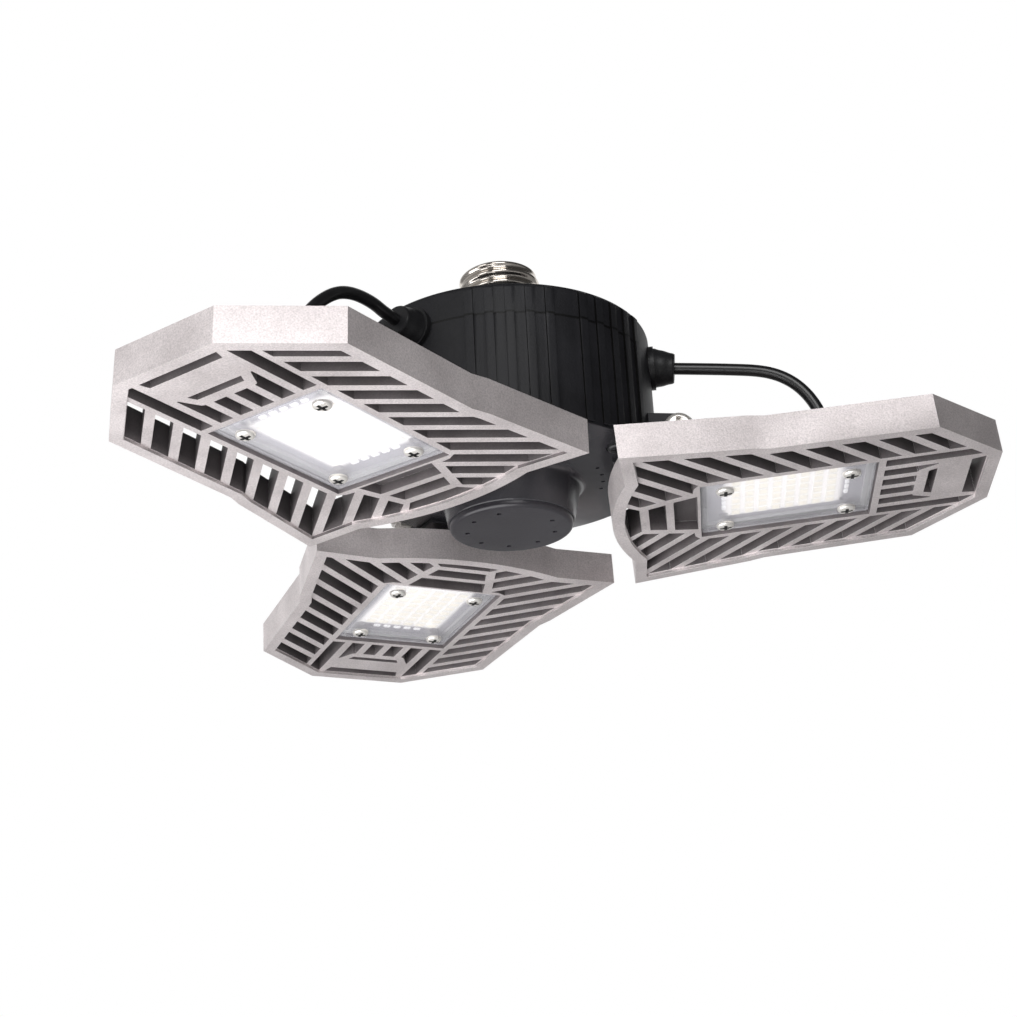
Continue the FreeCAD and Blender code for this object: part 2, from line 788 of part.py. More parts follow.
def centre_cells():
    """Open cells between the two spokes at the inner end, from the rim to the blind cell."""
    half = hub_cell_half
    near, corner, far = first_cell
    low, high = second_cell
    cells = [plan_face([(near, 0), (far, 0), (far, half + spoke_lean), (corner, half + first_cell_rise)]),
             plan_face([(low, 0), (high, 0), (high, half + second_cell_rise), (low, half)])]
    return [cell.fuse(mirrored(cell)).removeSplitter() for cell in cells]


def blind_cell():
    low, high = blind_cell_low_x, lens_low_x - blind_cell_wall
    low_rise, high_rise = blind_cell_rises
    half = plan_face([(low, 0), (high, 0), (high, hub_cell_half + high_rise),
                      (low, hub_cell_half + low_rise)])
    return half.fuse(mirrored(half)).removeSplitter()


def grille_slots():
    """Straight slots between the lens and the outer end."""
    start = lens_high_x + boss_wall
    end = start + grille_length
    pitch = grille_slot + grille_gap
    first = grille_gap / 2
    second = first + pitch
    third = second + pitch
    cross_in = end + cross_gap
    cross_out = cross_in + cross_width
    hook_out, hook_low, hook_high = hook_corners
    slots = [plan_face([(start, first), (end, first), (end, first + grille_slot),
                        (start, first + grille_slot)]),
             plan_face([(start, second), (end, second), (end + hook_out, second + hook_low),
                        (cross_out, second + grille_slot - hook_high), (cross_out, second + grille_slot),
                        (start, second + grille_slot)]),
             plan_face([(start, third), (chamfer_x(third), third),
                        (chamfer_x(third + grille_slot), third + grille_slot),
                        (start, third + grille_slot)])]
    slots += [mirrored(slot) for slot in slots]
    slots.append(plan_face([(cross_in, -cross_half_in), (cross_out, -cross_half_out),
                            (cross_out, cross_half_out), (cross_in, cross_half_in)]))
    far = panel_length - rim_width
    near = far - end_slot_width
    slots.append(plan_face([(near, -end_slot_half_in), (far, -end_slot_half_out),
                            (far, end_slot_half_out), (near, end_slot_half_in)]))
    return slots


def lens_screw_places():
    return [(lens_centre_x + sx * lens_screw_span_x / 2, sy * lens_screw_span_y / 2)
            for sx in (-1, 1) for sy in (-1, 1)]


def hinge_lug():
    """The upright boss on the panel's back that turns between the ears, in level-panel places."""
    top = panel_drop
    corners = [(pivot_inset - lug_foot_in, panel_wall - 1), (pivot_inset - lug_radius, top),
               (pivot_inset + lug_radius, top), (pivot_inset + lug_foot_out, panel_wall - 1)]
    lug = side_plate(corners, -lug_half, lug_half)
    lug = lug.fuse(rod_y(lug_radius, -lug_half, lug_half, pivot_inset, top))
    return lug.cut(rod_y(bolt_radius + running_gap, -lug_half - 1, lug_half + 1, pivot_inset, top))


def panel_casting():
    outline = panel_outline()
    inside = outline.makeOffset2D(-rim_width, 2)
    lip_inside = outline.makeOffset2D(-lip_width, 2)
    upper = side_slots(side_field(inside))
    slots = upper + [mirrored(slot) for slot in upper] + centre_cells() + grille_slots()
    casting = outline.cut(slots).extrude(Vector(0, 0, panel_wall))
    casting = casting.cut(lip_inside.extrude(Vector(0, 0, lip_step)))
    pocket = block((lens_low_x - fit_gap, -lens_half - fit_gap, -1),
                   (lens_high_x + fit_gap, lens_half + fit_gap, floor_z))
    blind = blind_cell().extrude(Vector(0, 0, lip_step + blind_cell_depth))
    screw_holes = [post(lens_screw_radius, floor_z - 1, panel_wall + 1, x, y)
                   for x, y in lens_screw_places()]
    grommet_hole = post(grommet_plug_radius, floor_z - 1, panel_wall + 1, grommet_x, 0)
    casting = casting.cut([pocket, blind, grommet_hole] + screw_holes)
    return casting.fuse(hinge_lug())


def plate_with_holes(low_z, high_z, inset):
    plate = block((lens_low_x + inset, -lens_half + inset, low_z),
                  (lens_high_x - inset, lens_half - inset, high_z))
    holes = [post(lens_screw_radius + fit_gap, low_z - 1, high_z + 1, x, y)
             for x, y in lens_screw_places()]
    return plate.cut(holes)


def panel_lens():
    return plate_with_holes(lens_recess, gasket_z, fit_gap)


def lens_gasket():
    inset = fit_gap + gasket_width
    outer = block((lens_low_x + fit_gap, -lens_half + fit_gap, gasket_z),
                  (lens_high_x - fit_gap, lens_half - fit_gap, led_board_z))
    return outer.cut(block((lens_low_x + inset, -lens_half + inset, gasket_z - 1),
                           (lens_high_x - inset, lens_half - inset, led_board_z + 1)))


def led_board():
    return plate_with_holes(led_board_z, floor_z, fit_gap)


def led_chips():
    chips = []
    for column in range(chip_columns):
        x = lens_centre_x - chip_shift + (column - (chip_columns - 1) / 2) * chip_pitch_x
        for row in range(chip_rows):
            y = (row - (chip_rows - 1) / 2) * chip_pitch_y
            chips.append(block((x - chip_width / 2, y - chip_length / 2, led_board_z - chip_height),
                               (x + chip_width / 2, y + chip_length / 2, led_board_z)))
    return chips


def lens_screws():
    return [pan_screw(lens_screw_head, lens_screw_head_height, lens_screw_radius, lens_screw_length,
                      Vector(x, y, lens_recess), UP) for x, y in lens_screw_places()]


def entry_grommet():
    """Rubber entry for the cable: a plug in the floor of the casting and a cone on its back."""
    cone = Part.makeCone(grommet_radius, grommet_tip_radius, grommet_height,
                         Vector(grommet_x, 0, panel_wall), UP)
    return cone.fuse(post(grommet_plug_radius, floor_z, panel_wall + 1, grommet_x, 0))


def placed_panel(shape, index):
    if isinstance(shape, list):
        return [placed_panel(solid, index) for solid in shape]
    copy = shape.copy()
    copy.translate(Vector(-pivot_inset, 0, -panel_drop))
    copy.rotate(ORIGIN, Vector(0, -1, 0), tilts[index])
    copy.translate(Vector(pivot_radius, 0, pivot_z))
    copy.rotate(ORIGIN, UP, azimuths[index])
    return copy


# ------------------------------------------------------------- files
def build():
    os.makedirs("parts", exist_ok=True)
    hub = {
        "centre_contact": centre_contact(), "base_insulator": base_insulator(),
        "screw_shell": screw_shell(), "top_cover": top_cover(), "drum_housing": drum_housing(),
        "panel_carrier": panel_carrier(), "bottom_cap": bottom_cap(),
        "housing_screws": housing_screws(), "driver_board": driver_board(),
        "board_screws": board_screws(), "transformer": transformer(),
        "bulk_capacitors": bulk_capacitors(), "filter_inductor": filter_inductor(),
        "bridge_rectifier": bridge_rectifier(), "mains_leads": mains_leads(),
        "output_leads": output_leads(),
    }
    for node, shape in hub.items():
        save(node, shape)
    panel_pieces = {
        "casting": panel_casting(), "lens": panel_lens(), "lens_gasket": lens_gasket(),
        "led_board": led_board(), "led_chips": led_chips(), "lens_screws": lens_screws(),
        "entry_grommet": entry_grommet(),
    }
    for index, azimuth in enumerate(azimuths):
        number = index + 1
        save("hinge_%d_bolt" % number, at_azimuth(hinge_bolt(), azimuth))
        save("hinge_%d_nut" % number, at_azimuth(hinge_nut(), azimuth))
        save("hinge_%d_washers" % number, [at_azimuth(washer, azimuth) for washer in hinge_washers()])
        save("cable_gland_%d" % number, at_azimuth(cable_gland(index), azimuth))
        save("cable_%d" % number, at_azimuth(cable(index), azimuth))
        for piece, shape in panel_pieces.items():
            save("panel_%d_%s" % (number, piece), placed_panel(shape, index))


build()
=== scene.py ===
import bpy, bmesh, math
from functools import partial
from mathutils import Matrix, Vector
from mathutils.bvhtree import BVHTree


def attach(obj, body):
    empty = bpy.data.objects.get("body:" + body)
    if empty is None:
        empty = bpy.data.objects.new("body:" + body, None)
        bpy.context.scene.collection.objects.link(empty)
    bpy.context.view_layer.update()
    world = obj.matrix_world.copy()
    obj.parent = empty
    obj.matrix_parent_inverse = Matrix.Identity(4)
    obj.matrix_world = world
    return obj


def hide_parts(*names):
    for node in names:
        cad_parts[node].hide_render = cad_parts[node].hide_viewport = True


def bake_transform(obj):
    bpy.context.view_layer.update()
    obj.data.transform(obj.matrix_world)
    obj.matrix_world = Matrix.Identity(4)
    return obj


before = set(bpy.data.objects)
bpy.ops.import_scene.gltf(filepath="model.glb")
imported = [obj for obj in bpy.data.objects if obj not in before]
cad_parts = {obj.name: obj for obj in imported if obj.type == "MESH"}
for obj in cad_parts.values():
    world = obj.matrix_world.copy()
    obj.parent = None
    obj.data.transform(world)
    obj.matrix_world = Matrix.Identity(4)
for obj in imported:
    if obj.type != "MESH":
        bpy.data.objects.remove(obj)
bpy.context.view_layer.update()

# A screw-in garage light with three hinged panels. The scene is in metres and +Z points up into
# the socket. Panel 1 points along +X; panels 2 and 3 follow at 120 degree steps. Sizes named
# here are millimetres and degrees, where they don't say otherwise.
MM = 0.001

# Camera: round and above the lamp, then metres to its target, and shift in picture widths.
AZIMUTH, ELEVATION, ROLL = -84.84, -22.42, -3.0
DISTANCE, TARGET, NEAREST = 0.56368, (0, 0, -0.08519), 0.01
SENSOR_WIDTH, FOCAL_LENGTH, SHIFT = 36.0, 64.08, (-0.00218, -0.00177)

# Soft boxes: name, place and size in metres, watts. The room's grey goes over to a brighter
# level along each axis of the view's direction.
LIGHT_TARGET = (0, 0, -0.07)
SOFT_BOXES = (
    ("key", (0.14, -0.87, 0.27), (0.55, 0.46), 3.7),
    ("left", (-0.55, -0.75, 0.10), (0.35, 0.6), 1.4),
    ("below", (-0.14, -0.14, -0.41), (0.7, 0.6), 4.3))
ROOM_GREY = 0.06
ROOM_FADES = (("Y", 0.50, 0.70, 1.0), ("X", -0.1, -0.9, 0.45))
FLOOR_HALF, FLOOR_Z = 4.0, -0.45

# Panels: the tilt of each at rest, its pivot's place on the hub, the pivot's distance from the
# panel's corner line and from its rim, and the depth of its wall. Lens, board and chips count
# from the same line and rim. Levels are insets with a height; the lens has a corner between.
TILTS = (3.3, -2.2, 1.3)
PIVOT_RADIUS, PIVOT_Z = 54.0, -69.5
PIVOT_INSET, PANEL_DROP, PANEL_WALL = 19.7, 24.5, 10.5
LENS_CENTRE, LENS_LENGTH, LENS_WIDTH, LENS_PLAY = 49.4, 53.0, 41.0, 0.1
LENS_FACE, LENS_BACK, BOARD_FACE = 1.65, 3.65, 4.9
LENS_LEVELS = ((0.0, 0.6, 0.0), (0.0, 0.6, 1.3), (0.15, 0.6, 1.45), (1.35, 0.7, 1.45),
               (1.5, 0.7, 1.5), (1.6, 0.8, 1.8), (1.9, 1.0, 2.0))
CHIP_COUNTS, CHIP_PITCH, CHIP_SHIFT = (8, 6), (4.2, 4.6), 0.6
CHIP_SIZE, CHIP_CORNER, CHIP_RIM, CHIP_DIP = (2.8, 3.5, 0.75), 0.1, 0.25, 0.1
PAD_COUNTS, PAD_PITCH, PAD_HALF, PAD_CORNER = (2, 5), (38.0, 3.8), (0.65, 1.2), 0.28
PAD_LEVELS = ((0.0, 0.0), (0.0, 0.3), (0.12, 0.5), (0.35, 0.6))
SCREW_COUNTS, SCREW_SPAN = (2, 2), (38.0, 27.8)
SCREW_RADIUS, SCREW_HEIGHT = 2.8, 1.4
CROSS_ARM, CROSS_HALF, CROSS_DEPTH, CROSS_TAPER = 2.25, 0.62, 0.8, 0.55

# Drum, carrier's neck, screw shell, and gland boots: slope of each, distance off the drum,
# length to the tip and length of the ringed sleeve over it.
DRUM_RADIUS, LID_TOP_Z, SEAM_Z, NECK_REACH = 46.8, -31.5, -42.0, 30.0
SHELL_TOP, SHELL_HEIGHT, SHELL_ROOT, SHELL_ROUNDING = -3.8, 22.0, 12.1, 1.4
THREAD_DEPTH, THREAD_PITCH, THREAD_FADE = 1.0, 3.63, 2.2
BOOT_ANGLES = (-6.5, -3.0, 4.0)
BOOT_STAND, BOOT_LENGTH, BOOT_COVER = 0.7, 7.0, 7.05
BOOT_RADII, BOOT_RIDGES, BOOT_RIDGE, BOOT_FADE, BOOT_ROUNDING = (6.45, 4.65), 2.0, 0.1, 0.8, 0.5

# Cables: straight start, length, and the knots between, as radius and height over the lid.
CABLE_DIAMETER = 3.8
CABLES = (
    (7.6, 65.0, ((72.1, -13.4), (81.0, -14.7), (86.8, -16.8), (91.6, -20.2), (95.3, -24.8),
                 (98.0, -30.4))),
    (8.0, 70.0, ((69.6, -11.4), (77.6, -12.2), (84.2, -14.4), (89.9, -18.1), (94.4, -23.1),
                 (97.5, -29.2))),
    (5.2, 67.9, ((64.2, -8.6), (69.8, -8.6), (75.2, -9.5), (80.4, -11.6), (85.6, -15.4),
                 (90.6, -20.2), (95.2, -26.4), (98.4, -33.2))))
ENTRY_X, ENTRY_STAND, ENTRY_RISE = 65.4, 5.0, 7.0

# Signs of a rectangle's corners, going round.
CORNERS = ((1, 1), (-1, 1), (-1, -1), (1, -1))

# Finishes: name, dark and light tone, scale of their drift, roughness, then where it isn't the
# usual value metallic, grain in the surface, the grain's scale and the speckle.
PAINTS = (
    ("pale_floor", (0.8, 0.8, 0.8), (0.83, 0.83, 0.83), 3.0, 0.7),
    ("cast_aluminium", (0.60, 0.55, 0.552), (0.74, 0.685, 0.687), 60.0, 0.50, 0.58, 0.3, 2200.0,
     0.16),
    # Painted highlight for the castings' eased edges.
    ("cast_edge_painted_highlight", (0.80, 0.77, 0.78), (0.90, 0.88, 0.88), 120.0, 0.38, 0.5, 0.2, 2600.0),
    # Painted shade for the slot walls and the blind cells' floors, darker with depth.
    ("slot_wall_painted_shade", (0.16, 0.142, 0.146), (0.23, 0.205, 0.21), 90.0, 0.55, 0.3, 0.4, 2200.0, 0.12),
    ("black_plastic", (0.010, 0.010, 0.012), (0.015, 0.015, 0.018), 90.0, 0.5, 0.0, 0.25, 1800.0,
     0.08),
    # Painted shade on the narrow sides of the drum's ribs.
    ("rib_side_painted_shade", (0.002, 0.002, 0.002), (0.004, 0.004, 0.004), 90.0, 0.7),
    ("carrier_grey", (0.026, 0.025, 0.029), (0.036, 0.035, 0.040), 50.0, 0.26, 0.1, 0.15, 2200.0,
     0.06),
    ("cap_grey", (0.027, 0.025, 0.030), (0.036, 0.034, 0.040), 50.0, 0.30, 0.1, 0.2, 2200.0, 0.05),
    ("bright_nickel", (0.66, 0.61, 0.56), (0.76, 0.71, 0.65), 80.0, 0.16, 1.0, 0.05, 900.0),
    ("gland_rubber", (0.010, 0.010, 0.011), (0.018, 0.018, 0.020), 140.0, 0.42, 0.0, 0.3, 1500.0),
    ("cable_jacket", (0.007, 0.007, 0.008), (0.012, 0.012, 0.013), 160.0, 0.30, 0.0, 0.04, 1400.0),
    ("polished_steel", (0.82, 0.79, 0.75), (0.90, 0.87, 0.83), 200.0, 0.28, 0.6, 0.05, 2000.0),
    ("blackened_screw", (0.016, 0.016, 0.018), (0.024, 0.024, 0.026), 200.0, 0.4, 0.2),
    ("screw_steel", (0.55, 0.55, 0.56), (0.68, 0.68, 0.69), 200.0, 0.3, 1.0, 0.1, 2000.0),
    # Painted shade inside the screws' cross recesses.
    ("recess_painted_shade", (0.02, 0.02, 0.02), (0.04, 0.04, 0.04), 400.0, 0.6, 0.4),
    ("white_board", (0.39, 0.38, 0.42), (0.45, 0.44, 0.48), 120.0, 0.5, 0.0, 0.1, 1500.0),
    # Painted glow: the solder pads shine though they are no lamps.
    ("pad_white_painted_glow", (0.85, 0.85, 0.88), (0.92, 0.92, 0.94), 300.0, 0.35),
    # Painted glow: the chip frames shine though they are no lamps.
    ("chip_frame_painted_glow", (0.50, 0.49, 0.46), (0.55, 0.54, 0.50), 300.0, 0.5),
    ("lit_phosphor", (0.35, 0.32, 0.24), (0.40, 0.37, 0.28), 120.0, 0.5),
    ("clear_lens", (0.68, 0.67, 0.71), (0.76, 0.75, 0.79), 60.0, 0.12),
    ("gasket_rubber", (0.55, 0.55, 0.56), (0.62, 0.62, 0.62), 150.0, 0.6),
    ("brass_contact", (0.70, 0.50, 0.24), (0.78, 0.58, 0.30), 200.0, 0.25, 1.0),
    ("base_insulator", (0.02, 0.02, 0.02), (0.03, 0.03, 0.03), 200.0, 0.35),
    ("board_green", (0.02, 0.10, 0.04), (0.03, 0.14, 0.06), 150.0, 0.4, 0.0, 0.1, 900.0),
    ("transformer_core", (0.05, 0.045, 0.04), (0.09, 0.08, 0.07), 250.0, 0.45, 0.5, 0.2, 2500.0),
    ("capacitor_can", (0.015, 0.018, 0.03), (0.02, 0.025, 0.05), 80.0, 0.3),
    ("component_black", (0.012, 0.012, 0.012), (0.02, 0.02, 0.02), 200.0, 0.4, 0.0, 0.2, 1800.0),
    ("lead_insulation", (0.016, 0.016, 0.018), (0.03, 0.03, 0.03), 120.0, 0.35))
MORE_SETTINGS = {
    "black_plastic": {"Specular IOR Level": 0.30},
    "rib_side_painted_shade": {"Specular IOR Level": 0.1},
    "gland_rubber": {"Specular IOR Level": 0.35},
    "cable_jacket": {"Specular IOR Level": 0.6},
    # Painted glow on the pads and chip frames; only the phosphor is a lamp.
    "pad_white_painted_glow": {"Emission Color": (1.0, 1.0, 1.0, 1), "Emission Strength": 0.5},
    "chip_frame_painted_glow": {"Emission Color": (1.0, 0.97, 0.93, 1), "Emission Strength": 0.72},
    "lit_phosphor": {"Emission Color": (1.0, 0.95, 0.84, 1), "Emission Strength": 1.0},
    "clear_lens": {"Alpha": 0.32}}
TONE_ENDS, SPECK_ENDS, GLOSS_DRIFT, GRAIN_HEIGHT = (0.35, 0.65), (0.3, 0.7), 0.12, 0.0002

# Greys of the painted slot shade by the share of the panel's wall above its rim, and by the
# millimetres off the seam.
SLOT_SHADE_GREYS = ((0.0, 0.7), (0.1, 1.0), (0.35, 0.5), (1.0, 0.14))
SEAM_GREYS = ((0.0, 0.0), (0.26, 0.0), (0.44, 1.0))

# Painted light spilling over the board: reach in halves of the lit field, strength at its edge,
# colour.
SPILL_REACH, SPILL_STRENGTH, SPILL_COLOUR = 0.15, 0.95, (1.0, 0.97, 0.92, 1)

# Each kind of node: its finishes, its slot in the record and its eased edge. The last finish of a
# casting is a painted highlight on the edge itself.
KINDS = {
    "centre_contact": (("brass_contact",), "brass_contact", 0.15),
    "base_insulator": (("base_insulator",), "base_insulator", 0.2),
    # The drum's rib sides take a painted shade as their second finish.
    "top_cover": (("black_plastic", "rib_side_painted_shade"), "black_plastic", 0.22),
    "drum_housing": (("black_plastic", "rib_side_painted_shade"), "black_plastic", 0.2),
    # The carrier's upright ear faces take black plastic as a painted shade.
    "panel_carrier": (("carrier_grey", "black_plastic"), "carrier_grey", 0.3),
    "bottom_cap": (("cap_grey",), "cap_grey", 0.15),
    "housing_screws": (("blackened_screw",), "screw_steel", 0.1),
    "driver_board": (("board_green",), "board_green", 0.1),
    "board_screws": (("screw_steel",), "screw_steel", 0.1),
    "transformer": (("transformer_core",), "transformer_core", 0.4),
    "bulk_capacitors": (("capacitor_can",), "capacitor_can", 0.0),
    "filter_inductor": (("transformer_core",), "transformer_core", 0.0),
    "bridge_rectifier": (("component_black",), "component_black", 0.3),
    "mains_leads": (("lead_insulation",), "lead_insulation", 0.0),
    "output_leads": (("lead_insulation",), "lead_insulation", 0.0),
    "bolt": (("polished_steel",), "nickel_bolt", 0.3),
    "nut": (("polished_steel",), "nickel_bolt", 0.3),
    "washers": (("screw_steel",), "nickel_bolt", 0.1),
    "gland": (("gland_rubber",), "gland_rubber", 0.3),
    # Castings: painted slot shade as the second finish, a painted highlight on the edge as the
    # last.
    "casting": (("cast_aluminium", "slot_wall_painted_shade", "cast_edge_painted_highlight"), "cast_aluminium", 0.42),
    "lens_gasket": (("gasket_rubber",), "gasket_rubber", 0.1),
    "led_board": (("white_board",), "white_board", 0.1),
    "entry_grommet": (("gland_rubber",), "gland_rubber", 0.3)}
MADE_HERE = ("screw_shell", "lens", "led_chips", "lens_screws")


# ------------------------------------------------------------- view and light
def aim(thing, place, target, roll=0.0):
    """Puts a camera or lamp in its place, looking at the target."""
    turn = (Vector(target) - Vector(place)).to_track_quat("-Z", "Y").to_matrix().to_4x4()
    level = Matrix.Rotation(math.radians(roll), 4, "Z")
    thing.matrix_world = Matrix.Translation(place) @ turn @ level


def set_camera():
    """The view from below, with the lamp hanging over the camera."""
    camera = bpy.data.objects.new("camera", bpy.data.cameras.new("camera"))
    bpy.context.scene.collection.objects.link(camera)
    azimuth, elevation, target = math.radians(AZIMUTH), math.radians(ELEVATION), Vector(TARGET)
    away = Vector((math.cos(elevation) * math.cos(azimuth),
                   math.cos(elevation) * math.sin(azimuth), math.sin(elevation)))
    aim(camera, target + away * DISTANCE, target, ROLL)
    camera.data.sensor_fit, camera.data.sensor_width = "HORIZONTAL", SENSOR_WIDTH
    camera.data.lens, camera.data.clip_start = FOCAL_LENGTH, NEAREST
    camera.data.shift_x, camera.data.shift_y = SHIFT
    bpy.context.scene.camera = camera
    bpy.context.scene.view_settings.view_transform = "Standard"


def set_light():
    """A white backdrop behind the lamp, a darker room round it, and soft boxes."""
    world = bpy.data.worlds.new("studio")
    world.use_nodes = True
    tree = world.node_tree
    ray = add(tree, "ShaderNodeTexCoord").outputs["Generated"]
    axes = add(tree, "ShaderNodeSeparateXYZ", {0: ray}).outputs
    levels = [add(tree, "ShaderNodeMapRange", {
        "Value": axes[axis], "From Min": start, "From Max": end, "To Min": ROOM_GREY,
        "To Max": level}).outputs[0] for axis, start, end, level in ROOM_FADES]
    tree.links.new(arithmetic(tree, "MAXIMUM", *levels), tree.nodes["Background"].inputs["Color"])
    bpy.context.scene.world = world
    for name, place, size, power in SOFT_BOXES:
        lamp = bpy.data.objects.new(name, bpy.data.lights.new(name, "AREA"))
        bpy.context.scene.collection.objects.link(lamp)
        lamp.data.shape, lamp.data.energy = "RECTANGLE", power
        lamp.data.size, lamp.data.size_y = size
        aim(lamp, place, LIGHT_TARGET)


def add_floor():
    """A pale floor far below the lamp, which the view from below doesn't show."""
    sheet = bmesh.new()
    bmesh.ops.create_grid(sheet, x_segments=1, y_segments=1, size=FLOOR_HALF)
    bmesh.ops.translate(sheet, verts=sheet.verts, vec=(0, 0, FLOOR_Z))
    floor = as_object("floor", sheet)
    floor.data.materials.append(look["pale_floor"])


# ------------------------------------------------------------- node trees
def add(tree, kind, inputs=(), **settings):
    """A new node. Inputs go by name or number and take a value or another node's output."""
    node = tree.nodes.new(kind)
    for setting, value in settings.items():
        setattr(node, setting, value)
    for key, value in dict(inputs).items():
        if isinstance(value, bpy.types.NodeSocket):
            tree.links.new(value, node.inputs[key])
        else:
            node.inputs[key].default_value = value
    return node


def arithmetic(tree, operation, *values):
    """The result of one step of arithmetic on numbers or outputs."""
    return add(tree, "ShaderNodeMath", dict(enumerate(values)), operation=operation).outputs[0]


def start_tree(name, sizes):
    """An empty geometry tree with a named input for each size; gives the tree and its inputs."""
    tree = bpy.data.node_groups.new(name, "GeometryNodeTree")
    for way in ("INPUT", "OUTPUT"):
        tree.interface.new_socket("Geometry", in_out=way, socket_type="NodeSocketGeometry")
    for label, kind in sizes:
        tree.interface.new_socket(label, in_out="INPUT", socket_type="NodeSocket" + kind)
    return tree, add(tree, "NodeGroupInput").outputs


def end_tree(tree, shape, finish, second_finish=None, inset=None):
    """Makes copies real, sets the finish, and the second finish where inset says so."""
    real = add(tree, "GeometryNodeRealizeInstances", {0: shape}).outputs[0]
    if inset is None:
        last = add(tree, "GeometryNodeSetMaterial", {"Geometry": real, "Material": finish})
    else:
        mark = add(tree, "GeometryNodeCaptureAttribute", {"Geometry": real}, domain="FACE")
        mark.capture_items.new("INT", "part")
        tree.links.new(inset, mark.inputs["part"])
        main = add(tree, "GeometryNodeSetMaterial", {
            "Geometry": mark.outputs["Geometry"], "Material": finish})
        chosen = add(tree, "FunctionNodeCompare", {2: mark.outputs["part"], 3: 0},
                     data_type="INT", operation="GREATER_THAN")
        last = add(tree, "GeometryNodeSetMaterial", {
            "Geometry": main.outputs[0], "Material": second_finish,
            "Selection": chosen.outputs[0]})
    add(tree, "NodeGroupOutput", {0: last.outputs[0]})
    return tree


def sleeve_tree():
    """A round sleeve along +Z whose side has a thread, or rings where the lead is 0."""
    tree, size = start_tree("ridged sleeve", (
        ("Start radius", "Float"), ("End radius", "Float"), ("Length", "Float"),
        ("Ridges", "Float"), ("Ridge height", "Float"), ("Lead", "Float"), ("Fade", "Float"),
        ("Rounding", "Float"), ("Steps round", "Int"), ("Steps along", "Int"),
        ("Place", "Vector"), ("Turn", "Rotation"), ("Finish", "Material")))
    calc = partial(arithmetic, tree)
    tiny = 1e-6

    # A unit grid gives the angle round the sleeve and the share of its length.
    grid = add(tree, "GeometryNodeMeshGrid", {
        "Size X": 1.0, "Size Y": 1.0, "Vertices X": size["Steps round"],
        "Vertices Y": size["Steps along"]})
    point = add(tree, "GeometryNodeInputPosition").outputs[0]
    spot = add(tree, "ShaderNodeSeparateXYZ", {0: point}).outputs
    angle = calc("MULTIPLY", spot["X"], 2 * math.pi)
    share = calc("ADD", spot["Y"], 0.5)
    along = calc("MULTIPLY", share, size["Length"])
    edge = calc("MINIMUM", along, calc("SUBTRACT", size["Length"], along))

    # Ridges that fade out towards both ends.
    turns = calc("MULTIPLY", calc("MULTIPLY", share, size["Ridges"]), 2 * math.pi)
    phase = calc("SUBTRACT", turns, calc("MULTIPLY", angle, size["Lead"]))
    wave = calc("MULTIPLY_ADD", calc("COSINE", phase), 0.5, 0.5)
    fade = add(tree, "ShaderNodeMapRange", {"Value": edge, "From Max": size["Fade"]},
               interpolation_type="SMOOTHSTEP").outputs[0]
    ridge = calc("MULTIPLY", calc("MULTIPLY", wave, fade), size["Ridge height"])

    # The straight side, rounded at its ends and closed by the first and last rows.
    straight = add(tree, "ShaderNodeMapRange", {
        "Value": share, "To Min": size["Start radius"], "To Max": size["End radius"]}).outputs[0]
    near = calc("SUBTRACT", 1.0, add(tree, "ShaderNodeMapRange", {
        "Value": edge, "From Max": size["Rounding"]}).outputs[0])
    arc = calc("SQRT", calc("SUBTRACT", 1.0, calc("MULTIPLY", near, near)))
    drawn_in = calc("MULTIPLY", calc("SUBTRACT", 1.0, arc), size["Rounding"])
    full = calc("SUBTRACT", calc("ADD", straight, ridge), drawn_in)
    radius = calc("MULTIPLY", full, calc("GREATER_THAN", edge, tiny))

    place = add(tree, "ShaderNodeCombineXYZ", {
        0: calc("MULTIPLY", radius, calc("COSINE", angle)),
        1: calc("MULTIPLY", radius, calc("SINE", angle)), 2: along})
    bent = add(tree, "GeometryNodeSetPosition", {
        "Geometry": grid.outputs[0], "Position": place.outputs[0]})
    closed = add(tree, "GeometryNodeMergeByDistance", {
        "Geometry": bent.outputs[0], "Distance": tiny})
    moved = add(tree, "GeometryNodeTransform", {
        "Geometry": closed.outputs[0], "Translation": size["Place"], "Rotation": size["Turn"]})
    return end_tree(tree, moved.outputs[0], size["Finish"])


def rows_tree():
    """Copies of one part in rows and columns round a place, turned together."""
    tree, size = start_tree("rows of a part", (
        ("Part", "Object"), ("Columns", "Int"), ("Rows", "Int"), ("Column pitch", "Float"),
        ("Row pitch", "Float"), ("Place", "Vector"), ("Turn", "Rotation"),
        ("Finish", "Material"), ("Inset finish", "Material")))
    calc = partial(arithmetic, tree)
    reach = [calc("MULTIPLY", calc("SUBTRACT", size[count], 1.0), size[pitch])
             for count, pitch in (("Columns", "Column pitch"), ("Rows", "Row pitch"))]
    spots = add(tree, "GeometryNodeMeshGrid", {
        "Size X": reach[0], "Size Y": reach[1], "Vertices X": size["Columns"],
        "Vertices Y": size["Rows"]})
    part = add(tree, "GeometryNodeObjectInfo", {"Object": size["Part"]},
               transform_space="ORIGINAL")
    copies = add(tree, "GeometryNodeInstanceOnPoints", {
        "Points": spots.outputs[0], "Instance": part.outputs["Geometry"]})
    moved = add(tree, "GeometryNodeTransform", {
        "Geometry": copies.outputs[0], "Translation": size["Place"], "Rotation": size["Turn"]})
    inset = add(tree, "GeometryNodeInputMaterialIndex").outputs[0]
    return end_tree(tree, moved.outputs[0], size["Finish"], size["Inset finish"], inset)


def evaluated_mesh(thing):
    """A plain mesh of what an object shows."""
    return bpy.data.meshes.new_from_object(
        thing.evaluated_get(bpy.context.evaluated_depsgraph_get()))


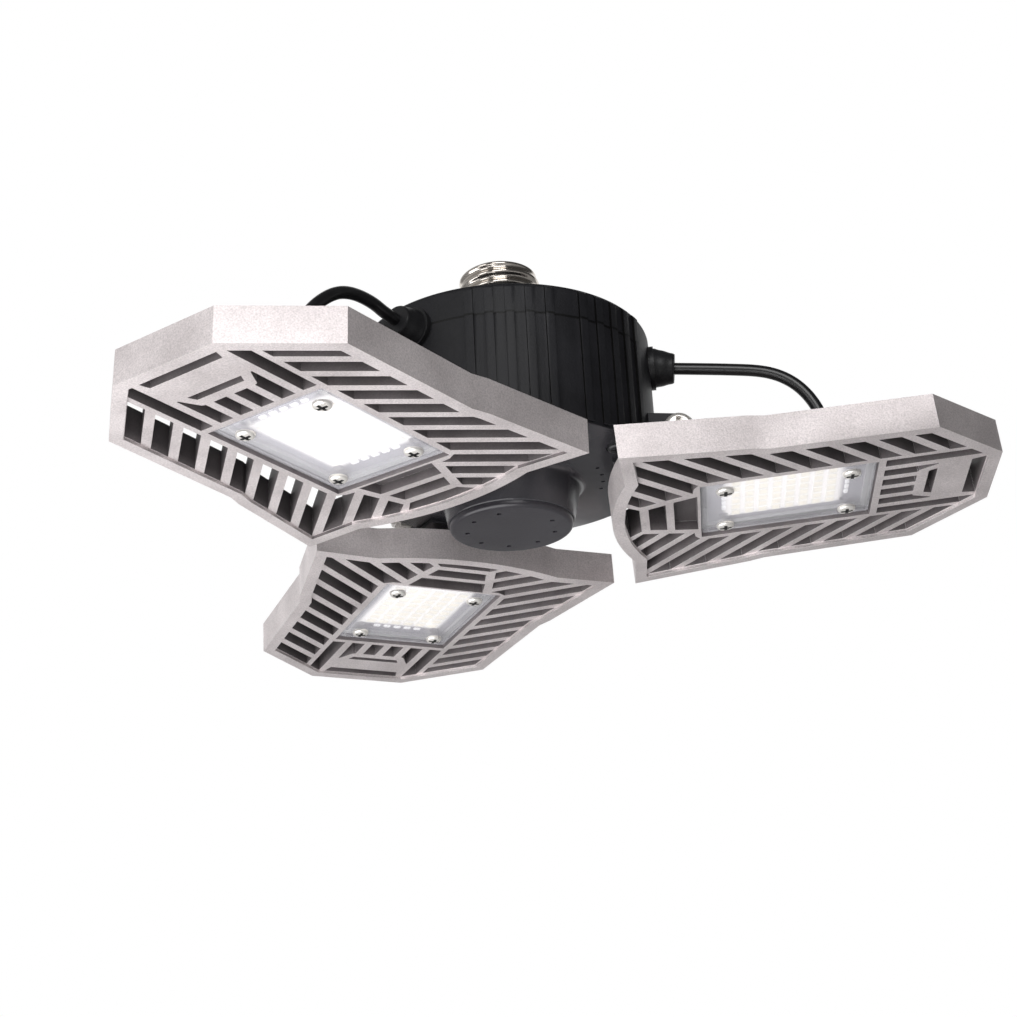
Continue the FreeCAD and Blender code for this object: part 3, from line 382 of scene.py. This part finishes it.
def grown(name, tree, values, sharp=35.0):
    """The plain mesh that a geometry tree makes from these values, as a new piece."""
    piece = as_object(name, bpy.data.meshes.new(name))
    growth = piece.modifiers.new("growth", "NODES")
    growth.node_group = tree
    for socket in tree.interface.items_tree:
        if socket.in_out == "INPUT" and socket.name in values:
            growth[socket.identifier] = values[socket.name]
    mesh = evaluated_mesh(piece)
    piece.modifiers.clear()
    piece.data = mesh
    mesh.name = name
    for face in mesh.polygons:
        face.use_smooth = True
    mesh.set_sharp_from_angle(angle=math.radians(sharp))
    return piece


# ------------------------------------------------------------- finishes
def multiplied(tree, first, second):
    """The product of two colours. Inputs 6 and 7 and output 2 are the mix node's colours."""
    return add(tree, "ShaderNodeMix", {0: 1.0, 6: first, 7: second}, data_type="RGBA",
               blend_type="MULTIPLY").outputs[2]


def paint(name, dark, light, scale, roughness, metallic=0.0, grain=0.0, grain_scale=1500.0,
          speckle=0.0):
    """Finish with two tones that drift into each other, a speckle and a fine surface grain."""
    material = bpy.data.materials.new(name)
    material.use_nodes = True
    tree = material.node_tree
    shader = tree.nodes["Principled BSDF"]
    place = add(tree, "ShaderNodeTexCoord").outputs["Object"]
    drift = add(tree, "ShaderNodeTexNoise", {
        "Vector": place, "Scale": scale, "Detail": 5.0}).outputs[0]
    speck = add(tree, "ShaderNodeTexNoise", {
        "Vector": place, "Scale": grain_scale, "Detail": 3.0}).outputs[0]
    tone = add(tree, "ShaderNodeValToRGB", {0: drift})
    for element, position, shade in zip(tone.color_ramp.elements, TONE_ENDS, (dark, light)):
        element.position, element.color = position, (*shade, 1)
    colour = tone.outputs[0]
    if speckle:
        dots = add(tree, "ShaderNodeMapRange", {
            "Value": speck, "From Min": SPECK_ENDS[0], "From Max": SPECK_ENDS[1],
            "To Min": 1.0 - speckle, "To Max": 1.0 + speckle}).outputs[0]
        colour = multiplied(tree, colour, dots)
    tree.links.new(colour, shader.inputs["Base Color"])
    gloss = add(tree, "ShaderNodeMapRange", {
        "Value": drift, "To Min": roughness * (1.0 - GLOSS_DRIFT),
        "To Max": min(1.0, roughness * (1.0 + GLOSS_DRIFT))})
    tree.links.new(gloss.outputs[0], shader.inputs["Roughness"])
    shader.inputs["Metallic"].default_value = metallic
    if grain:
        bump = add(tree, "ShaderNodeBump", {
            "Strength": grain, "Distance": GRAIN_HEIGHT, "Height": speck})
        tree.links.new(bump.outputs[0], shader.inputs["Normal"])
    for socket, value in MORE_SETTINGS.get(name, {}).items():
        shader.inputs[socket].default_value = value
    return material


def darken_by(material, number, stops):
    """Multiplies a finish's colour by a ramp of greys over one number of its tree."""
    tree = material.node_tree
    colour = tree.nodes["Principled BSDF"].inputs["Base Color"]
    ramp = add(tree, "ShaderNodeValToRGB", {0: number})
    elements = ramp.color_ramp.elements
    while len(elements) < len(stops):
        elements.new(0.5)
    for element, (position, grey) in zip(elements, stops):
        element.position, element.color = position, (grey, grey, grey, 1)
    tree.links.new(multiplied(tree, colour.links[0].from_socket, ramp.outputs[0]), colour)


def slot_shadow(material):
    """Painted shade: slots get darker with the depth that each casting's points keep."""
    depth = add(material.node_tree, "ShaderNodeAttribute", attribute_name="depth")
    darken_by(material, depth.outputs["Fac"], SLOT_SHADE_GREYS)


def seam_shadow(material):
    """Dark line where the top cover meets the drum."""
    tree = material.node_tree
    place = add(tree, "ShaderNodeTexCoord").outputs["Object"]
    height = add(tree, "ShaderNodeSeparateXYZ", {0: place}).outputs["Z"]
    off = arithmetic(tree, "ABSOLUTE", arithmetic(tree, "SUBTRACT", height, SEAM_Z * MM))
    darken_by(material, arithmetic(tree, "DIVIDE", off, MM), SEAM_GREYS)


def spill_light(material):
    """Painted light: a glow that spills from the lit field over the board round it, fading
    outwards.
    """
    tree = material.node_tree
    calc = partial(arithmetic, tree)
    shader = tree.nodes["Principled BSDF"]
    plan = add(tree, "ShaderNodeUVMap", uv_map="plan").outputs[0]
    sides = add(tree, "ShaderNodeSeparateXYZ", {0: plan}).outputs
    past = [calc("MAXIMUM", calc("SUBTRACT", calc("ABSOLUTE", sides[axis]), 1.0), 0.0)
            for axis in ("X", "Y")]
    off = calc("SQRT", calc("ADD", *(calc("MULTIPLY", side, side) for side in past)))
    fall = add(tree, "ShaderNodeMapRange", {
        "Value": off, "From Max": SPILL_REACH, "To Min": SPILL_STRENGTH, "To Max": 0.0},
        interpolation_type="SMOOTHSTEP").outputs[0]
    tree.links.new(fall, shader.inputs["Emission Strength"])
    shader.inputs["Emission Color"].default_value = SPILL_COLOUR


# ------------------------------------------------------------- places on the lamp
def round_hub(index):
    """Turns a place on panel 1's side of the hub to the same place on another panel's side."""
    return Matrix.Rotation(math.radians(120 * index), 3, "Z")


def panel_turn(index):
    """How a panel stands at rest."""
    return round_hub(index) @ Matrix.Rotation(math.radians(-TILTS[index]), 3, "Y")


def pivot_of(index):
    """The middle of a panel's hinge bolt, in mm."""
    return round_hub(index) @ Vector((PIVOT_RADIUS, 0, PIVOT_Z))


def panel_point(x, y, z, index):
    """A point of a panel in mm, x from its corner line and z from its rim, at rest."""
    return panel_turn(index) @ Vector((x - PIVOT_INSET, y, z - PANEL_DROP)) + pivot_of(index)


def from_rim(point, index):
    """The panel's own place, in mm, of a point of the scene."""
    local = panel_turn(index).transposed() @ (point / MM - pivot_of(index))
    return local + Vector((PIVOT_INSET, 0, PANEL_DROP))


# ------------------------------------------------------------- pieces from the frame
def as_object(name, mesh):
    """A new object in the scene from a bmesh or a mesh."""
    if isinstance(mesh, bmesh.types.BMesh):
        data = bpy.data.meshes.new(name)
        mesh.to_mesh(data)
        mesh.free()
    else:
        data = mesh
    piece = bpy.data.objects.new(name, data)
    bpy.context.scene.collection.objects.link(piece)
    return piece


def on_panel(node):
    """Whether a node belongs to one of the three panels."""
    return node.startswith("panel_") and node[6].isdigit()


def body_of(node):
    """The body that a node rides on."""
    return node[:7] if on_panel(node) else "hub"


def kind_of(node):
    """A node's name without the number of its panel, hinge or gland."""
    if node.startswith("cable_gland"):
        return "gland"
    return node[8:] if on_panel(node) or node.startswith("hinge_") else node


def stands_for(piece, body, slot, *nodes):
    """Ties a finished piece to its body and the nodes that it replaces; the slot is not used."""
    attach(piece, body)
    if nodes:
        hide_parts(*nodes)
    return piece


def welded(node, weld=0.000004, flat=0.6):
    """A copy of a node's mesh with its doubles merged and its flat faces joined."""
    work = bmesh.new()
    work.from_mesh(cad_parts[node].data)
    work.transform(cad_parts[node].matrix_world)
    bmesh.ops.remove_doubles(work, verts=work.verts, dist=weld)
    bmesh.ops.dissolve_limit(work, angle_limit=math.radians(flat), verts=work.verts,
                             edges=work.edges)
    for face in work.faces:
        face.smooth = True
        face.material_index = 0
    return work


def dressed(node, work, finishes, slot, edge, segments=2, sharp=32.0, edge_highlight=False):
    """A node's copy with its finishes and eased edges; the edges can take the last finish as a
    painted highlight.
    """
    piece = as_object(node + "_dressed", work)
    for finish in finishes:
        piece.data.materials.append(look[finish])
    if edge:
        bevel = piece.modifiers.new("eased edges", "BEVEL")
        bevel.width, bevel.segments = edge * MM, segments
        bevel.limit_method, bevel.angle_limit = "ANGLE", math.radians(sharp)
        bevel.harden_normals = True
        if edge_highlight:
            bevel.material = len(finishes) - 1
    piece.data.set_sharp_from_angle(angle=math.radians(sharp))
    return stands_for(piece, body_of(node), slot, node)


def shaded_sides(work, across=0.6):
    """Painted shade: a darker second finish on the narrow sides of the drum's ribs."""
    for face in work.faces:
        middle = face.calc_center_median()
        round_about = Vector((-middle.y, middle.x, 0)).normalized()
        if abs(face.normal.dot(round_about)) > across:
            face.material_index = 1


def shaded_slots(work, index, upright=0.6, start=0.02, reach=60.0, floor_depth=2.0):
    """Painted shade: a dark second finish on walls that face another wall, and on the blind cells'
    floors.
    """
    tree = BVHTree.FromBMesh(work)
    for face in work.faces:
        middle = face.calc_center_median()
        if abs(face.normal.z) < upright:
            hit = tree.ray_cast(middle + face.normal * start * MM, face.normal, reach * MM)
            if hit[0] is not None:
                face.material_index = 1
        elif face.normal.z < 0 and from_rim(middle, index).z > floor_depth:
            face.material_index = 1


def shaded_ears(work, upright=0.5):
    """Painted shade: a darker second finish on the carrier's upright faces outside its neck."""
    for face in work.faces:
        middle = face.calc_center_median()
        if abs(face.normal.z) < upright and math.hypot(middle.x, middle.y) > NECK_REACH * MM:
            face.material_index = 1


def note_depth(piece, index):
    """Keeps each point's share of the panel's wall above the rim, for the painted slot shade."""
    depth = piece.data.attributes.new("depth", "FLOAT", "POINT")
    for vertex, value in zip(piece.data.vertices, depth.data):
        value.value = max(0.0, from_rim(vertex.co, index).z / PANEL_WALL)


def note_plan(work, index):
    """Keeps each corner's place on the panel as a UV map, counted in halves of the lit field."""
    half_x, half_y = (count * pitch / 2 for count, pitch in zip(CHIP_COUNTS, CHIP_PITCH))
    plan = work.loops.layers.uv.new("plan")
    for face in work.faces:
        for loop in face.loops:
            place = from_rim(loop.vert.co, index)
            loop[plan].uv = ((place.x - LENS_CENTRE + CHIP_SHIFT) / half_x, place.y / half_y)


def dress_nodes():
    """Every node of the frame that isn't made anew, with its finish and eased edges."""
    for node in list(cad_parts):
        kind = kind_of(node)
        if kind in MADE_HERE or kind.startswith("cable_"):
            continue
        finishes, slot, edge = KINDS[kind]
        index = int(node[6]) - 1 if on_panel(node) else 0
        work = welded(node)
        if kind == "panel_carrier":
            shaded_ears(work)
        elif kind in ("top_cover", "drum_housing"):
            shaded_sides(work)
        elif kind == "led_board":
            note_plan(work, index)
        if kind == "casting":
            shaded_slots(work, index)
            note_depth(dressed(node, work, finishes, slot, edge, 3, edge_highlight=True), index)
        else:
            dressed(node, work, finishes, slot, edge)


# ------------------------------------------------------------- pieces made here
def skin(work, rings):
    """Faces between rings of equal count, first ring to last, and a cap at both ends."""
    for low, high in zip(rings, rings[1:]):
        for i in range(len(low)):
            j = (i + 1) % len(low)
            work.faces.new((low[i], low[j], high[j], high[i]))
    work.faces.new(rings[0][::-1])
    work.faces.new(rings[-1])


def rounded_ring(work, half_x, half_y, corner, z, steps=5):
    """One ring of points round a rectangle with rounded corners."""
    ring = []
    for quarter, (sx, sy) in enumerate(CORNERS):
        for step in range(steps + 1):
            angle = math.radians(90 * (quarter + step / steps))
            ring.append(work.verts.new((sx * (half_x - corner) + corner * math.cos(angle),
                                        sy * (half_y - corner) + corner * math.sin(angle), z)))
    return ring


def stacked(levels):
    """A closed solid from rounded rectangles, each given as for rounded_ring."""
    work = bmesh.new()
    skin(work, [rounded_ring(work, *level) for level in levels])
    bmesh.ops.recalc_face_normals(work, faces=work.faces)
    return work


def lens_plate():
    """Clear moulded plate: a lower flange, a step and a raised, softly edged face."""
    x, y = (LENS_LENGTH / 2 - LENS_PLAY) * MM, (LENS_WIDTH / 2 - LENS_PLAY) * MM
    return stacked([(x - inset * MM, y - inset * MM, corner * MM, z * MM)
                    for inset, corner, z in LENS_LEVELS])


def pad_part():
    """A bead of solder, narrower towards its top."""
    return stacked([((PAD_HALF[0] - inset) * MM, (PAD_HALF[1] - inset) * MM, PAD_CORNER * MM,
                     z * MM) for inset, z in PAD_LEVELS])


def chip_part():
    """A chip: a frame with a painted glow round a sunk, lit face that has the second finish."""
    x, y, height = (size * MM for size in CHIP_SIZE)
    work = stacked([(x / 2, y / 2, CHIP_CORNER * MM, z, 1) for z in (0.0, height)])
    top = max(work.faces, key=lambda face: face.calc_center_median().z)
    bmesh.ops.inset_region(work, faces=[top], thickness=CHIP_RIM * MM, depth=-CHIP_DIP * MM)
    top.material_index = 1
    return work


def screw_part(name, steps=40):
    """Pan head on +Z with a cross recess; the recess has the second finish, a painted shade."""
    radius, height = SCREW_RADIUS * MM, SCREW_HEIGHT * MM
    arm, half, depth = CROSS_ARM * MM, CROSS_HALF * MM, CROSS_DEPTH * MM

    work = bmesh.new()
    profile = [(radius, 0.0)] + [(radius * math.cos(math.radians(t)) ** 0.45,
                                  height * (0.22 + 0.78 * math.sin(math.radians(t))))
                                 for t in range(0, 90, 10)]
    turns = [2 * math.pi * i / steps for i in range(steps)]
    skin(work, [[work.verts.new((r * math.cos(turn), r * math.sin(turn), z)) for turn in turns]
                for r, z in profile])
    head = as_object(name, work)

    cross = bmesh.new()
    for long_x, long_y in ((arm, half), (half, arm)):
        low, high = [[cross.verts.new((sx * long_x * share, sy * long_y * share, z))
                      for sx, sy in CORNERS]
                     for share, z in ((CROSS_TAPER, height - depth), (1.0, height * 1.3))]
        skin(cross, [low, high])
    for face in cross.faces:
        face.material_index = 1
    cutter = as_object(name + "_cutter", cross)

    for piece in (head, cutter):
        for finish in ("polished_steel", "recess_painted_shade"):
            piece.data.materials.append(look[finish])
    cut = head.modifiers.new("recess", "BOOLEAN")
    cut.operation, cut.solver, cut.object, cut.use_self = "DIFFERENCE", "EXACT", cutter, True
    mesh = evaluated_mesh(head)
    head.modifiers.clear()
    head.data = mesh
    bpy.data.objects.remove(cutter)
    return head


def add_shell(tree):
    """The threaded screw shell, from its top down."""
    piece = grown("thread_shell", tree, {
        "Start radius": SHELL_ROOT * MM, "End radius": SHELL_ROOT * MM,
        "Length": SHELL_HEIGHT * MM, "Ridges": SHELL_HEIGHT / THREAD_PITCH,
        "Ridge height": THREAD_DEPTH * MM, "Lead": 1.0, "Fade": THREAD_FADE * MM,
        "Rounding": SHELL_ROUNDING * MM, "Steps round": 145, "Steps along": 160,
        "Place": (0, 0, SHELL_TOP * MM), "Turn": (math.pi, 0, 0),
        "Finish": look["bright_nickel"]})
    stands_for(piece, "hub", "nickel_shell", "screw_shell")


def add_boots(tree):
    """Ringed sleeves over the glands' tapered boots."""
    for index, slope in enumerate(BOOT_ANGLES):
        root = round_hub(index) @ Vector((DRUM_RADIUS + BOOT_STAND, 0, SEAM_Z))
        piece = grown("gland_boot_%d" % (index + 1), tree, {
            "Start radius": BOOT_RADII[0] * MM, "End radius": BOOT_RADII[1] * MM,
            "Length": BOOT_COVER * MM, "Ridges": BOOT_RIDGES, "Ridge height": BOOT_RIDGE * MM,
            "Lead": 0.0, "Fade": BOOT_FADE * MM, "Rounding": BOOT_ROUNDING * MM,
            "Steps round": 65, "Steps along": 60, "Place": root * MM,
            "Turn": (0, math.radians(90 - slope), math.radians(120 * index)),
            "Finish": look["gland_rubber"]})
        stands_for(piece, "hub", "gland_rubber")


def add_panel_details(tree):
    """Lens, chips, pads and lens screws of each panel."""
    plate = as_object("lens_part", lens_plate())
    chip = as_object("chip_part", chip_part())
    pad = as_object("pad_part", pad_part())
    screw = screw_part("lens_screw_part")
    for part, finishes in ((plate, ("clear_lens",)), (chip, ("chip_frame_painted_glow", "lit_phosphor")),
                           (pad, ("pad_white_painted_glow",))):
        for finish in finishes:
            part.data.materials.append(look[finish])

    # Name, part, counts, pitches, place, main and second finish, slot.
    rows = (
        ("lens", plate, (1, 1), (0, 0), (LENS_CENTRE, LENS_BACK), "clear_lens", "clear_lens",
         "clear_lens"),
        ("led_chips", chip, CHIP_COUNTS, CHIP_PITCH, (LENS_CENTRE - CHIP_SHIFT, BOARD_FACE),
         "chip_frame_painted_glow", "lit_phosphor", "led_phosphor"),
        ("board_pads", pad, PAD_COUNTS, PAD_PITCH, (LENS_CENTRE, BOARD_FACE), "pad_white_painted_glow",
         "pad_white_painted_glow", "white_board"),
        ("lens_screws", screw, SCREW_COUNTS, SCREW_SPAN, (LENS_CENTRE, LENS_FACE),
         "polished_steel", "recess_painted_shade", "screw_steel"))
    for index, tilt in enumerate(TILTS):
        panel = "panel_%d" % (index + 1)
        for name, part, counts, pitches, (x, z), finish, second, slot in rows:
            node = "%s_%s" % (panel, name)
            piece = grown(node, tree, {
                "Part": part, "Columns": counts[0], "Rows": counts[1],
                "Column pitch": pitches[0] * MM, "Row pitch": pitches[1] * MM,
                "Place": panel_point(x, 0, z, index) * MM,
                "Turn": (math.pi, math.radians(-tilt), math.radians(120 * index)),
                "Finish": look[finish], "Inset finish": look[second]})
            stands_for(piece, panel, slot, *([node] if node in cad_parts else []))
    for part in (plate, chip, pad, screw):
        bpy.data.objects.remove(part)


# ------------------------------------------------------------- cables
def cable_route(index):
    """A cable's knots in metres, from the gland's tip to the grommet in the panel's back."""
    straight, _, knots = CABLES[index]
    angle = math.radians(BOOT_ANGLES[index])
    tip = Vector((DRUM_RADIUS + BOOT_STAND + BOOT_LENGTH * math.cos(angle), 0,
                  SEAM_Z + BOOT_LENGTH * math.sin(angle)))
    first = tip + Vector((math.cos(angle), 0, math.sin(angle))) * straight
    hub_part = [tip, first] + [Vector((x, 0, LID_TOP_Z + z)) for x, z in knots]
    panel_part = [panel_point(ENTRY_X, 0, PANEL_WALL + ENTRY_STAND + rise, index)
                  for rise in (ENTRY_RISE, 0.0)]
    return ([round_hub(index) @ point * MM for point in hub_part]
            + [point * MM for point in panel_part])


def spline_mesh(name, points, radius):
    """The mesh of a smooth line that follows the points, or of a tube where it has a radius."""
    curve = bpy.data.curves.new(name, "CURVE")
    curve.dimensions, curve.resolution_u = "3D", 10
    spline = curve.splines.new("NURBS")
    spline.points.add(len(points) - 1)
    for knot, point in zip(spline.points, points):
        knot.co = (*point, 1.0)
    spline.order_u, spline.use_endpoint_u = 3, True
    curve.bevel_depth, curve.bevel_resolution, curve.use_fill_caps = radius, 6, radius > 0
    line = bpy.data.objects.new(name, curve)
    bpy.context.scene.collection.objects.link(line)
    mesh = evaluated_mesh(line)
    bpy.data.objects.remove(line)
    bpy.data.curves.remove(curve)
    return mesh


def add_cables():
    """Each panel's cable, as a tube along its route from the gland to the panel's grommet."""
    for index, (_, length, _) in enumerate(CABLES):
        route = cable_route(index)
        path = [tuple(vertex.co) for vertex in spline_mesh("route", route, 0.0).vertices]
        cable = as_object("cable_jacket_%d" % (index + 1),
                          spline_mesh("cable", route, CABLE_DIAMETER / 2 * MM))
        cable.data.materials.append(look["cable_jacket"])
        for face in cable.data.polygons:
            face.use_smooth = True
        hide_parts("cable_%d" % (index + 1))
        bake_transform(cable)


# ------------------------------------------------------------- the scene
look = {row[0]: paint(*row) for row in PAINTS}
slot_shadow(look["slot_wall_painted_shade"])
seam_shadow(look["black_plastic"])
spill_light(look["white_board"])
set_camera()
set_light()
add_floor()
add_cables()
sleeve, rows_of = sleeve_tree(), rows_tree()
add_shell(sleeve)
add_boots(sleeve)
add_panel_details(rows_of)
dress_nodes()
